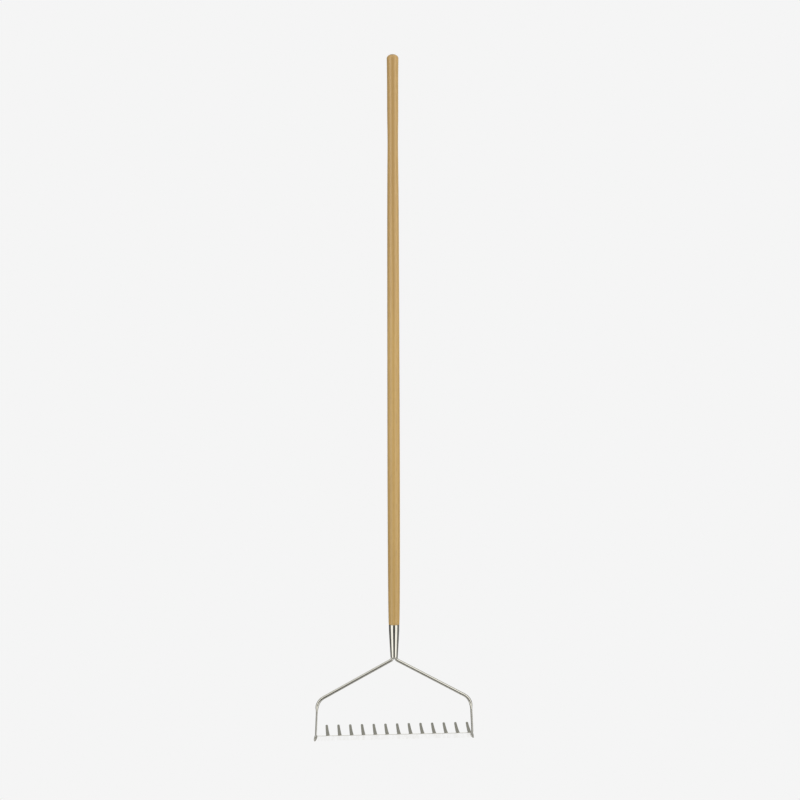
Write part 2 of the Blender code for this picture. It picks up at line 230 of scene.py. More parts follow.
# Ash: each colour, and the share of it that is laid over the ones before it
WOOD_TAN = (0.500, 0.330, 0.128, 1.0)
WOOD_LIGHT = (0.590, 0.400, 0.168, 1.0)
WOOD_LATE = (0.640, 0.450, 0.205, 1.0)
WOOD_LATE_SHARE = 0.42
WOOD_EARLY = (0.370, 0.232, 0.080, 1.0)
WOOD_EARLY_SHARE = 0.40
WOOD_WARM = (0.500, 0.300, 0.105, 1.0)
WOOD_WARM_SHARE = 0.30
WOOD_STREAK = (0.400, 0.250, 0.086, 1.0)
WOOD_STREAK_SHARE = 0.45
WOOD_FIBRE_SHARE = 0.30             # the fibres have the colour of the early wood
WOOD_PORE = (0.210, 0.120, 0.042, 1.0)
WOOD_PORE_SHARE = 0.55
WOOD_PAINTED_SHADE = (0.330, 0.205, 0.082, 1.0)
WOOD_PAINTED_SHADE_SHARE = 0.45
WOOD_UPPER_DARK = (0.340, 0.205, 0.085, 1.0)
WOOD_UPPER_DARK_SHARE = 0.32

# Ash: noise scales across (X, Y) and along (Z) the grain, and the values between which it fades in
SWAY_SCALE = (9.0, 9.0, 1.6)
CLOUD_SCALE = (26.0, 26.0, 3.2)
CLOUD_FADE = (0.30, 0.70)
STREAK_SCALE = (330.0, 330.0, 4.0)
STREAK_FADE = (0.42, 0.72)
FIBRE_SCALE = (2100.0, 2100.0, 38.0)
FIBRE_FADE = (0.35, 0.80)
PORE_SCALE = (1500.0, 1500.0, 75.0)
PORE_FADE = (0.58, 0.70)
PORES_IN_LATE_WOOD = 0.15           # share of the pores that is open outside the early wood

# Ash: growth rings around a pith that is beside the shaft and a little behind it
PITH_X = -0.062
PITH_Y = 0.021
PITH_LEAN = 0.006                   # how far it moves in X for each metre of height
RING_WIDTH = 0.0034
RING_SWAY = 0.0075
EARLY_RISE = (0.0, 0.08)            # shares of a year's ring
EARLY_FALL = (0.18, 0.5)
LATE_RISE = (0.55, 1.0)
PAINTED_SHADE_X = -0.004                    # painted shade down the middle of the shaft, front and back alike
PAINTED_SHADE_SWAY = 0.008
PAINTED_SHADE_FALL = (0.0015, 0.0065)       # distances from the middle of the painted shade
PAINTED_SHADE_RISE = (-0.22, -0.08)         # heights in the frame between which it fades in
UPPER_DARK_RISE = (-0.25, 0.05)        # and those between which the wood darkens towards the top

# Ash: surface
WOOD_ROUGHNESS = 0.23
FIBRE_ROUGHNESS = 0.14
PORE_ROUGHNESS = 0.22
PORE_DEPTH = 0.8                    # shares of the bump's depth
FIBRE_HEIGHT = 0.35
WOOD_BUMP = (0.35, 0.00012)         # strength of a bump, and its depth
WOOD_IOR = 1.46
WOOD_COAT = 0.55
WOOD_COAT_ROUGHNESS = 0.17

# Polished steel, with wiping marks and hair scratches
STEEL_LIGHT = (0.800, 0.790, 0.765, 1.0)
STEEL_WARM = (0.740, 0.725, 0.690, 1.0)
STEEL_ROUGHNESS = 0.035
MARK_SCALE = (140.0, 140.0, 60.0)
MARK_FADE = (0.35, 0.75)
MARK_ROUGHNESS = 0.06
HAIR_SCALE = (5200.0, 5200.0, 160.0)
HAIR_FADE = (0.60, 0.72)
HAIR_ROUGHNESS = 0.07
HAIR_BUMP = (0.05, 0.00002)

# Satin steel, brushed along the tines
SATIN_LIGHT = (0.640, 0.640, 0.600, 1.0)
SATIN_DARK = (0.500, 0.500, 0.465, 1.0)
SATIN_DULL = (0.440, 0.440, 0.400, 1.0)
SATIN_STRAW = (0.430, 0.390, 0.290, 1.0)
SATIN_ROUGHNESS = 0.22
BRUSH_SCALE = (4200.0, 110.0, 4200.0)
BRUSH_FADE = (0.30, 0.75)
BRUSH_ROUGHNESS = 0.16
BRUSH_BUMP = (0.12, 0.00003)
BLOTCH_SCALE = (160.0, 160.0, 160.0)
BLOTCH_FADE = (0.45, 0.80)
BLOTCH_SHARE = 0.5
STRAW_RISE = (-1.0 * MM, 0.0)       # distances from the back of the bar
STRAW_FALL = (0.5 * MM, 6.0 * MM)
STRAW_SHARE = 0.75

# Weld metal
WELD_GREY = (0.560, 0.550, 0.510, 1.0)
WELD_DARK = (0.330, 0.320, 0.290, 1.0)
WELD_BROWN = (0.360, 0.290, 0.200, 1.0)
WELD_ROUGHNESS = 0.22
MOTTLE_SCALE = (900.0, 900.0, 900.0)
MOTTLE_FADE = (0.30, 0.72)
MOTTLE_ROUGHNESS = 0.30
MOTTLE_BUMP = (0.25, 0.00008)
FILM_SCALE = (210.0, 210.0, 210.0)
FILM_FADE = (0.48, 0.75)
FILM_SHARE = 0.6

# Camera and studio
CAMERA_AZIMUTH = math.radians(-6.0)
CAMERA_DISTANCE = 4.4
CAMERA_HEIGHT = 0.798
AIM_X = 0.0163
AIM_HEIGHT = 0.841
CAMERA_ROLL = math.radians(-0.155)
CAMERA_LENS = 79.85                 # millimetres, on a 36 mm sensor
CAMERA_SENSOR = 36.0
CAMERA_NEAR = 0.1
CAMERA_FAR = 100.0
PALE = 0.913                        # the white of the floor and of the studio behind it
FLOOR_HALF_SIZE = 12.0
FLOOR_DROP = 0.5 * MM
CARD_HALF_WIDTH = 0.23              # white card on the floor, which the front of the bar mirrors
CARD_DEPTH = 0.09
CARD_COLOUR = (1.14, 1.155, 1.19, 1.0)
CARD_GRAZING = (0.64, 0.74)         # fades in between these, where 0 is square on and 1 is edge on
STRIP_DEPTH = 0.016                 # white strip right under the bar
STUDIO_TINT = (1.0, 0.985, 0.90)
STUDIO_DARK = 0.06                  # what the steel sees where there is no softbox
STUDIO_SOFTNESS = math.radians(2.5)  # half the width of a patch's soft edge
BOTH = 0
RIGHT = 1
# Softboxes and screens: side of the camera, azimuths away from the camera's between which each one
# lies, elevations between which it lies, and the light that it adds to the dark room
STUDIO_PATCHES = (
    (BOTH, 24, 74, -30, 50, 1.12),      # tall softboxes beside the camera
    (BOTH, -9, 24, 19, 50, 0.56),       # soft light above the camera
    (BOTH, -9, 118, 50, 99, 0.72),      # diffuser overhead
    (BOTH, 118, 189, 17, 99, 0.34),     # grey screen high behind the rake
    (BOTH, 174, 189, -30, 17, 0.90),    # strip of white backdrop right behind it
    (BOTH, 148, 174, -30, 17, 0.20),    # grey backdrop
    (BOTH, 74, 148, -30, 50, 0.06),     # dim sides of the room
    (RIGHT, 86, 130, -30, 50, 0.10),    # spill on the right
    (BOTH, -9, 189, -99, -30, 0.30),    # light coming back from the floor
)
# Lamps that light the wood and aren't mirrored in the steel: name, azimuth, elevation, distance,
# size and power
LAMPS = (
    ("lamp_left", -56, 20, 4.0, 2.0, 61.0),
    ("lamp_right", 54, 20, 4.0, 2.0, 66.0),
    ("lamp_side", 98, 16, 4.0, 1.8, 54.0),
    ("lamp_top", 10, 62, 4.2, 2.4, 16.0),
    ("lamp_back", 172, 30, 4.4, 2.6, 84.0),
)


def blend(a, b, t):
    return a + (b - a) * t


def ease(t):
    """Smooth step from 0 to 1."""
    t = min(max(t, 0.0), 1.0)
    return t * t * (3.0 - 2.0 * t)


def hermite(stations, position, column):
    """Value in a column of the stations at a position, on one smooth curve through them all."""
    last = len(stations) - 1
    rising = stations[-1][0] > stations[0][0]
    k = 0
    while k < last - 1 and (position > stations[k + 1][0]) == rising:
        k += 1
    p0 = stations[k][0]
    p1 = stations[k + 1][0]
    v0 = stations[k][column]
    v1 = stations[k + 1][column]
    before = stations[max(k - 1, 0)]
    after = stations[min(k + 2, last)]
    slope0 = (v1 - before[column]) / (p1 - before[0])
    slope1 = (after[column] - v0) / (after[0] - p0)
    span = p1 - p0
    t = (position - p0) / span
    return (
        (2 * t**3 - 3 * t**2 + 1) * v0
        + (t**3 - 2 * t**2 + t) * span * slope0
        + (3 * t**2 - 2 * t**3) * v1
        + (t**3 - t**2) * span * slope1
    )


def flat_oval(width, depth, squareness, count):
    """Closed outline from an ellipse (squareness 2) to a bar with rounded edges (4 and more)."""
    power = 2.0 / squareness
    outline = []
    for i in range(count):
        angle = TURN * (i + 0.5) / count
        c = math.cos(angle)
        s = math.sin(angle)
        outline.append((
            0.5 * width * math.copysign(abs(c) ** power, c),
            0.5 * depth * math.copysign(abs(s) ** power, s),
        ))
    return outline


def skin(bm, loops, closed=False):
    """Faces between consecutive loops of vertices."""
    pairs = list(zip(loops, loops[1:]))
    if closed:
        pairs.append((loops[-1], loops[0]))
    for lower, upper in pairs:
        count = len(lower)
        for i in range(count):
            j = (i + 1) % count
            bm.faces.new((lower[i], lower[j], upper[j], upper[i]))


def cap(bm, loop, centre):
    """Close a loop with a fan of triangles around a centre point."""
    middle = bm.verts.new(centre)
    count = len(loop)
    for i in range(count):
        bm.faces.new((loop[i], loop[(i + 1) % count], middle))


def loft(bm, rings):
    """Closed skin over a row of sections, with both ends capped."""
    loops = [[bm.verts.new(point) for point in ring] for ring in rings]
    skin(bm, loops)
    for loop, ring in ((loops[0], rings[0]), (loops[-1], rings[-1])):
        cap(bm, loop, sum(ring, Vector()) / len(ring))


def ring_around(axis, along, radius, segments):
    """Circle round the Z axis, or round a line along Y at the screw's height."""
    points = []
    for i in range(segments):
        angle = TURN * i / segments
        c = radius * math.cos(angle)
        s = radius * math.sin(angle)
        if axis == "Z":
            points.append(Vector((c, s, along)))
        else:
            points.append(Vector((c, along, SCREW_HEIGHT + s)))
    return points


def turned(bm, axis, outline, segments, closed=False):
    """Solid of revolution from an outline of (radius, place along the axis)."""
    loops = [[bm.verts.new(p) for p in ring_around(axis, a, r, segments)] for r, a in outline]
    skin(bm, loops, closed)
    if not closed:
        for loop, (radius, along) in ((loops[0], outline[0]), (loops[-1], outline[-1])):
            middle = Vector((0, 0, along)) if axis == "Z" else Vector((0, along, SCREW_HEIGHT))
            cap(bm, loop, middle)


def quarter(centre_r, centre_h, radius, start):
    """Quarter of a circle in an outline, turning clockwise from a start angle in degrees."""
    points = []
    for i in range(EDGE_STEPS + 1):
        angle = math.radians(start - 90.0 * i / EDGE_STEPS)
        points.append((centre_r + radius * math.cos(angle), centre_h + radius * math.sin(angle)))
    return points


def make_object(name, bm, sharp_angle=TURNED_SHARP):
    """Turn a bmesh, with its heights counted from the head's underside, into a placed object."""
    bmesh.ops.translate(bm, vec=(0, 0, HEAD_Z), verts=bm.verts)
    bmesh.ops.recalc_face_normals(bm, faces=bm.faces)
    mesh = bpy.data.meshes.new(name)
    bm.to_mesh(mesh)
    bm.free()
    mesh.shade_smooth()
    mesh.set_sharp_from_angle(angle=math.radians(sharp_angle))
    obj = bpy.data.objects.new(name, mesh)
    bpy.context.scene.collection.objects.link(obj)
    return obj


def cut(obj, cutter_bm):
    """Take the cutter's shape out of the object, for good."""
    cutter = make_object("cutter", cutter_bm)
    modifier = obj.modifiers.new("cut", "BOOLEAN")
    modifier.operation = "DIFFERENCE"
    modifier.solver = "EXACT"
    modifier.object = cutter
    bpy.context.view_layer.update()
    graph = bpy.context.evaluated_depsgraph_get()
    result = bpy.data.meshes.new_from_object(obj.evaluated_get(graph))
    obj.modifiers.clear()
    result.name = obj.name
    obj.data = result
    bpy.data.objects.remove(cutter, do_unlink=True)
    result.shade_smooth()
    result.set_sharp_from_angle(angle=math.radians(TURNED_SHARP))


def screw_hole(inner_y):
    """Cutter for the screw's hole, from outside the socket to inner_y."""
    bm = bmesh.new()
    outside = SCREW_TOP_Y + HOLE_RADIUS
    turned(bm, "Y", ((HOLE_RADIUS, inner_y), (HOLE_RADIUS, outside)), SCREW_SEGMENTS)
    return bm


def place(obj, slot, material, *nodes):
    """Give a piece its material and body, and hide the CAD nodes that it stands for. The slot is not
    used.
    """
    obj.data.materials.clear()
    obj.data.materials.append(material)
    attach(obj, BODY)
    if nodes:
        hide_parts(*nodes)


def shaft_ring(height):
    """Section of the shaft, a hair out of round."""
    radius = hermite(SHAFT_STATIONS, height, 1)
    points = []
    for i in range(SHAFT_SEGMENTS):
        angle = TURN * i / SHAFT_SEGMENTS
        c = math.cos(angle)
        s = math.sin(angle)
        wave = SHAFT_WAVE * noise.noise(Vector((c, s, height * SHAFT_WAVE_PER_METRE)))
        points.append(Vector(((radius + wave) * c, (radius + wave) * s, height)))
    return points


def make_handle(material):
    """Turned shaft with a domed end, a rounded shoulder and a tapered tenon inside the socket."""
    shaft_bottom = SHAFT_STATIONS[0][0]
    shaft_top, dome_radius = SHAFT_STATIONS[-1]
    dome_height = HANDLE_TOP - shaft_top
    rings = []
    for i in range(DOME_SECTIONS):
        angle = 0.25 * TURN * (i + 1) / (DOME_SECTIONS + 1)
        height = shaft_top + dome_height * math.cos(angle)
        rings.append(ring_around("Z", height, dome_radius * math.sin(angle), SHAFT_SEGMENTS))
    steps = round((shaft_top - shaft_bottom) / SHAFT_SPACING)
    for i in range(steps):
        rings.append(shaft_ring(blend(shaft_top, shaft_bottom + SHOULDER_ROUND, i / steps)))
    corner = SHAFT_STATIONS[0][1] - SHOULDER_ROUND
    inset = SOCKET_WALL + GAP
    slope = (SOCKET_COLLAR_RADIUS - SOCKET_END_RADIUS) / (SOCKET_COLLAR - SOCKET_CONE_END)
    tenon_end = SOCKET_COLLAR_RADIUS - slope * (SOCKET_COLLAR - HANDLE_BOTTOM) - inset
    tail = quarter(corner, shaft_bottom + SHOULDER_ROUND, SHOULDER_ROUND, 0)
    tail += [
        (SOCKET_MOUTH_RADIUS - inset, shaft_bottom),
        (SOCKET_COLLAR_RADIUS - inset, SOCKET_COLLAR),
        (tenon_end, HANDLE_BOTTOM + SHOULDER_ROUND),
        (tenon_end - SHOULDER_ROUND, HANDLE_BOTTOM),
    ]
    rings += [ring_around("Z", height, radius, SHAFT_SEGMENTS) for radius, height in tail]
    bm = bmesh.new()
    loops = [[bm.verts.new(point) for point in ring] for ring in rings]
    skin(bm, loops)
    cap(bm, loops[0], Vector((0, 0, HANDLE_TOP)))
    cap(bm, loops[-1], Vector((0, 0, HANDLE_BOTTOM)))
    handle = make_object("ash_handle", bm)
    cut(handle, screw_hole(SCREW_TIP_Y - GAP))
    place(handle, "ash", material, "handle")


def make_socket(material):
    """Conical tube with a rolled mouth, open at both ends."""
    edge = SOCKET_EDGE
    outline = quarter(SOCKET_MOUTH_RADIUS - edge, SOCKET_TOP - edge, edge, 90)
    outline += [(SOCKET_COLLAR_RADIUS + radius, SOCKET_COLLAR + rise) for radius, rise in SOCKET_BEND]
    outline.append((SOCKET_END_RADIUS, SOCKET_CONE_END))
    outline += quarter(SOCKET_END_RADIUS - edge, SOCKET_BOTTOM + edge, edge, 0)
    outline += [
        (SOCKET_END_RADIUS - SOCKET_WALL, SOCKET_BOTTOM),
        (SOCKET_END_RADIUS - SOCKET_WALL, SOCKET_CONE_END),
        (SOCKET_COLLAR_RADIUS - SOCKET_WALL, SOCKET_COLLAR),
        (SOCKET_MOUTH_RADIUS - SOCKET_WALL, SOCKET_TOP - edge),
        (SOCKET_MOUTH_RADIUS - SOCKET_WALL + 0.5 * edge, SOCKET_TOP),
    ]
    bm = bmesh.new()
    turned(bm, "Z", outline, SOCKET_SEGMENTS, closed=True)
    socket = make_object("steel_socket", bm)
    cut(socket, screw_hole(0.0))
    place(socket, "polished_steel", material, "socket")


def make_screw(material):
    """Round-head screw along -Y, with a slot across its head."""
    head_height = SCREW_TOP_Y - SCREW_SEAT_Y
    outline = [
        (SCREW_TIP_RADIUS, SCREW_TIP_Y),
        (SCREW_SHANK_RADIUS, SCREW_TIP_Y + SCREW_POINT),
        (SCREW_SHANK_RADIUS, SCREW_SEAT_Y),
        (SCREW_HEAD_RADIUS - SCREW_HEAD_EDGE, SCREW_SEAT_Y),
        (SCREW_HEAD_RADIUS, SCREW_SEAT_Y + SCREW_HEAD_EDGE),
    ]
    for i in range(1, SCREW_RINGS + 1):
        angle = 0.25 * TURN * i / (SCREW_RINGS + 1)
        y = SCREW_SEAT_Y + SCREW_HEAD_EDGE + (head_height - SCREW_HEAD_EDGE) * math.sin(angle)
        outline.append((SCREW_HEAD_RADIUS * math.cos(angle), y))
    bm = bmesh.new()
    turned(bm, "Y", outline, SCREW_SEGMENTS)
    screw = make_object("slotted_screw", bm)

    slot = bmesh.new()
    bmesh.ops.create_cube(slot, size=1.0)
    size = (3 * SCREW_HEAD_RADIUS, 2 * SCREW_SLOT_DEPTH, SCREW_SLOT_WIDTH)
    bmesh.ops.scale(slot, vec=size, verts=slot.verts)
    bmesh.ops.translate(slot, vec=(0, SCREW_TOP_Y, SCREW_HEIGHT), verts=slot.verts)
    cut(screw, slot)
    place(screw, "satin_steel", material, "socket_screw")


def rounded_corner(before, corner, after, radius, steps):
    """Points and directions along the arc that rounds a corner of the rod's centreline."""
    incoming = (corner - before).normalized()
    outgoing = (after - corner).normalized()
    turn = incoming.angle(outgoing)
    start = corner - incoming * radius * math.tan(turn / 2)
    inward = (outgoing - incoming * incoming.dot(outgoing)).normalized()
    stations = []
    for i in range(steps + 1):
        angle = turn * i / steps
        point = start + incoming * radius * math.sin(angle) + inward * radius * (1 - math.cos(angle))
        direction = incoming * math.cos(angle) + inward * math.sin(angle)
        stations.append((point, direction))
    return stations


def arm_stations():
    """Centre points and directions of one rod, from its tang down to the top of its foot."""
    down = Vector((0, 0, -1))
    stations = [
        (Vector((TANG_X, 0, TANG_TOP)), down),
        (Vector((TANG_X, 0, TANG_BOTTOM)), down),
    ]
    above = Vector((ROD_X, 0, SOCKET_BOTTOM))
    stations += rounded_corner(above, SPLIT_CORNER, BOW_CORNER, SPLIT_BEND_RADIUS, SPLIT_STEPS)
    stations += rounded_corner(SPLIT_CORNER, BOW_CORNER, FOOT_TOP, BOW_BEND_RADIUS, BOW_STEPS)
    last = (FOOT_TOP - BOW_CORNER).normalized()
    for i in range(BLADE_STEPS + 1):
        height = blend(BLADE_TOP, FOOT_TOP.z, i / BLADE_STEPS)
        t = (BOW_CORNER.z - height) / (BOW_CORNER.z - FOOT_TOP.z)
        stations.append((BOW_CORNER.lerp(FOOT_TOP, t), last))
    return stations


def foot_rings():
    """Sections of the foot below the blade's last one, on smooth curves through the main ones."""
    rings = []
    heights = [section[0] for section in FOOT_SECTIONS]
    columns = range(1, len(FOOT_SECTIONS[0]))
    for upper, lower in zip(heights, heights[1:]):
        for i in range(FOOT_STEPS):
            height = blend(upper, lower, i / FOOT_STEPS)
            rings.append((height, *(hermite(FOOT_SECTIONS, height, k) for k in columns)))
    rings.append(FOOT_SECTIONS[-1])
    return rings[1:]


def make_arm(name, side, material, node):
    """One rod of the bow: round, then flattened into a blade, then splayed into a foot."""
    rings = []
    for point, direction in arm_stations():
        across = Vector((0, 1, 0)).cross(direction).normalized()
        flat = 1.0 - ease((point.z - FLAT_FULL) / (FLAT_TOP - FLAT_FULL))
        radius = TANG_RADIUS if point.z > SOCKET_BOTTOM else ROD_RADIUS
        width = blend(2 * radius, BLADE_THICKNESS, flat)
        depth = blend(2 * radius, BLADE_DEPTH, flat)
        centre = point + Vector((0, blend(0.0, BLADE_CENTRE_Y, flat), 0))
        outline = flat_oval(width, depth, blend(2.0, BLADE_SQUARENESS, flat), ROD_POINTS)
        rings.append([centre + across * u + Vector((0, v, 0)) for u, v in outline])
    for height, x, y, width, depth in foot_rings():
        outline = flat_oval(width, depth, BLADE_SQUARENESS, ROD_POINTS)
        rings.append([Vector((x - u, y + v, height)) for u, v in outline])
    bm = bmesh.new()
    loft(bm, [[Vector((side * p.x, p.y, p.z)) for p in ring] for ring in rings])
    place(make_object(name, bm, LOFT_SHARP), "polished_steel", material, node)


def make_bar(material):
    """Flat strip with slanted ends and rounded edges."""
    upper = BAR_HALF_LENGTH - BAR_END_SLOPE
    corners = (
        (-BAR_HALF_LENGTH, 0.0),
        (BAR_HALF_LENGTH, 0.0),
        (upper, BAR_HEIGHT),
        (-upper, BAR_HEIGHT),
    )
    bm = bmesh.new()
    face = bm.faces.new([bm.verts.new((x, BAR_FRONT_Y, z)) for x, z in corners])
    extruded = bmesh.ops.extrude_face_region(bm, geom=[face])
    back = [item for item in extruded["geom"] if isinstance(item, bmesh.types.BMVert)]
    bmesh.ops.translate(bm, vec=(0, BAR_BACK_Y - BAR_FRONT_Y, 0), verts=back)
    bmesh.ops.bevel(
        bm, geom=bm.edges[:], offset=BAR_EDGE, segments=BAR_EDGE_STEPS, profile=0.5, affect="EDGES",
    )
    bar = make_object("head_strip", bm, BAR_SHARP)
    flat_faces = bar.modifiers.new("flat_faces", "WEIGHTED_NORMAL")
    flat_faces.weight = 100
    place(bar, "polished_steel", material, "head_bar")


def tine_section(distance):
    """Half width and half thickness at a distance along the tine."""
    t = distance / TINE_LENGTH
    half_width = 0.5 * blend(TINE_ROOT_WIDTH, TINE_TIP_WIDTH, t)
    half_thickness = 0.5 * blend(TINE_ROOT_THICKNESS, TINE_TIP_THICKNESS, t)
    if distance < TINE_FLARE_LENGTH:
        u = 1.0 - distance / TINE_FLARE_LENGTH
        half_width += TINE_FLARE * (1.0 - math.sqrt(1.0 - u * u))
    left = TINE_LENGTH - distance
    if left < TINE_NOSE:
        u = 1.0 - left / TINE_NOSE
        nose = math.sqrt(max(1.0 - u * u, 0.0))
        half_width *= max(nose, TINE_END_WIDTH)
        half_thickness *= blend(TINE_END_THICKNESS, 1.0, nose)
    return half_width, half_thickness


def tine_distances():
    """Places along the tine where it gets a section, closer together in the flare and the nose."""
    flare = [TINE_FLARE_LENGTH * (k / FLARE_STEPS) ** 2 for k in range(FLARE_STEPS + 1)]
    end = TINE_LENGTH - TINE_NOSE
    shank = [blend(TINE_FLARE_LENGTH, end, k / TINE_STEPS) for k in range(1, TINE_STEPS + 1)]
    nose = [
        end + TINE_NOSE * math.sin(0.25 * TURN * k / NOSE_STEPS)
        for k in range(1, NOSE_STEPS + 1)
    ]
    return flare + shank + nose


def make_tine(node, material):
    """Flat tine with rounded edges, curving up from the back of the bar to a rounded tip."""
    low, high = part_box(node)
    x = 0.5 * (low.x + high.x)
    y = low.y
    z = BAR_HEIGHT - 0.5 * TINE_ROOT_THICKNESS - TINE_BELOW_EDGE
    before = 0.0
    rings = []
    for distance in tine_distances():
        middle = 0.5 * (before + distance) / TINE_LENGTH
        slope = blend(TINE_ROOT_SLOPE, TINE_TIP_SLOPE, middle)
        y += (distance - before) * math.cos(slope)
        z += (distance - before) * math.sin(slope)
        before = distance
        # The root face lies flat against the bar, whatever the slope of the tine
        lean = ease(distance / TINE_FLARE_LENGTH)
        here = lean * blend(TINE_ROOT_SLOPE, TINE_TIP_SLOPE, distance / TINE_LENGTH)
        half_width, half_thickness = tine_section(distance)
        outline = flat_oval(2 * half_width, 2 * half_thickness, TINE_SQUARENESS, TINE_POINTS)
        rings.append([
            Vector((x + u, y - v * math.sin(here), z + v * math.cos(here)))
            for u, v in outline
        ])
    bm = bmesh.new()
    loft(bm, rings)
    name = node.replace("tine", "steel_tine")
    place(make_object(name, bm, LOFT_SHARP), "satin_steel", material, node)


def bead_ring(centre, tangent, radius):
    """Round section of a weld bead, across its run."""
    side = Vector((0, 1, 0))
    out = side.cross(tangent).normalized()
    points = []
    for i in range(BEAD_POINTS):
        angle = TURN * i / BEAD_POINTS
        points.append(centre + radius * (math.cos(angle) * out + math.sin(angle) * side))
    return points


def scales(t, count, seed):
    """Swelling of a bead along its run, one soft scale of metal after another."""
    saw = (t * count) % 1.0
    uneven = noise.noise(Vector((t * count, seed, 0.0)))
    return 1.0 + BEAD_RIPPLE * (abs(math.sin(math.pi * saw)) - 0.5) + 0.5 * BEAD_RIPPLE * uneven


def make_tine_weld(node, material):
    """Bead of weld metal round the root of one tine."""
    low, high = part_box(node)
    x = 0.5 * (low.x + high.x)
    z = BAR_HEIGHT - 0.5 * TINE_ROOT_THICKNESS - BEAD_RADIUS
    width = high.x - low.x
    run = flat_oval(width, TINE_ROOT_THICKNESS, TINE_SQUARENESS, BEAD_STEPS)
    centres = [Vector((x + u, BAR_BACK_Y + BEAD_OFF_BAR, z + v)) for u, v in run]
    bm = bmesh.new()
    loops = []
    for i, centre in enumerate(centres):
        tangent = centres[(i + 1) % BEAD_STEPS] - centres[i - 1]
        radius = BEAD_RADIUS * scales(i / BEAD_STEPS, BEAD_RIPPLES, x / MM)
        loops.append([bm.verts.new(point) for point in bead_ring(centre, tangent, radius)])
    skin(bm, loops, closed=True)
    place(make_object(node.replace("tine", "tine_weld"), bm, WELD_SHARP), "satin_steel", material)


def make_foot_weld(name, side, material):
    """Bead along the inner edge of a foot, where it laps the front of the bar."""
    ends = []
    for (height, x, _, width, _), rise in FOOT_BEAD_ENDS:
        ends.append(Vector((side * (x - 0.5 * width), FOOT_BEAD_Y, height + rise)))
    start, end = ends
    rings = []
    for i in range(FOOT_BEAD_STEPS + 1):
        t = i / FOOT_BEAD_STEPS
        taper = max(math.sqrt(1.0 - (2.0 * t - 1.0) ** FOOT_BEAD_BLUNTNESS), FOOT_BEAD_END)
        radius = FOOT_BEAD_RADIUS * taper * scales(t, FOOT_BEAD_RIPPLES, side)
        rings.append(bead_ring(start.lerp(end, t), end - start, radius))
    bm = bmesh.new()
    loft(bm, rings)
    place(make_object(name, bm, WELD_SHARP), "satin_steel", material)


def make_socket_weld(material):
    """Polished fillet that closes the socket's end around the two rods."""
    rings = []
    for i in range(FILLET_STEPS + 1):
        t = i / FILLET_STEPS
        height = FILLET_TOP - FILLET_HEIGHT * t
        shrink = ease(t)
        width = blend(FILLET_TOP_WIDTH, FILLET_LOW_WIDTH, shrink)
        depth = blend(FILLET_TOP_WIDTH, FILLET_LOW_DEPTH, shrink)
        ring = []
        for u, v in flat_oval(width, depth, blend(2.0, FILLET_SQUARENESS, shrink), FILLET_POINTS):
            uneven = noise.noise(Vector((u, v, height)) * FILLET_LUMPS_PER_METRE)
            lump = 1.0 + FILLET_LUMP / SOCKET_END_RADIUS * uneven
            ring.append(Vector((u * lump, v * lump, height)))
        rings.append(ring)
    bm = bmesh.new()
    loft(bm, rings)
    place(make_object("socket_weld", bm, WELD_SHARP), "polished_steel", material)


class Nodes:
    """Short calls for building a node tree: add returns the new node, the others its output."""

    def __init__(self, tree):
        self.tree = tree

    def add(self, kind, inputs=(), **settings):
        node = self.tree.nodes.new(kind)
        for key, value in settings.items():
            setattr(node, key, value)
        for index, value in dict(inputs).items():
            if isinstance(value, bpy.types.NodeSocket):
                self.tree.links.new(value, node.inputs[index])
            else:
                node.inputs[index].default_value = value
        return node

    def math(self, operation, a, b=0.0, c=0.0):
        inputs = {0: a, 1: b, 2: c}
        return self.add("ShaderNodeMath", inputs, operation=operation).outputs[0]

    def step(self, value, low, high, start=0.0, end=1.0):
        """Smooth step of a value between two limits."""
        inputs = {0: value, 1: low, 2: high, 3: start, 4: end}
        return self.add("ShaderNodeMapRange", inputs, interpolation_type="SMOOTHSTEP").outputs[0]

    def scaled(self, vector, scale):
        node = self.add("ShaderNodeMapping", {"Vector": vector, "Scale": scale})
        return node.outputs[0]

    def noise(self, vector, detail=2.0, roughness=0.5):
        inputs = {"Vector": vector, "Scale": 1.0, "Detail": detail, "Roughness": roughness}
        return self.add("ShaderNodeTexNoise", inputs).outputs[0]

    def mix(self, share, a, b):
        """Colour b laid over colour a; a colour mix has them at inputs 6 and 7."""
        return self.add("ShaderNodeMix", {0: share, 6: a, 7: b}, data_type="RGBA").outputs[2]

    def bump(self, height, strength, depth):
        inputs = {"Height": height, "Strength": strength, "Distance": depth}
        return self.add("ShaderNodeBump", inputs).outputs[0]


def new_material(name):
    """Material with its shader, its node helper and the object's own coordinates."""
    material = bpy.data.materials.new(name)
    material.use_nodes = True
    tree = material.node_tree
    nodes = Nodes(tree)
    place_vector = nodes.add("ShaderNodeTexCoord").outputs["Object"]
    return material, tree.nodes["Principled BSDF"], nodes, place_vector


def connect(nodes, shader, **sockets):
    for name, socket in sockets.items():
        nodes.tree.links.new(socket, shader.inputs[name.replace("_", " ")])


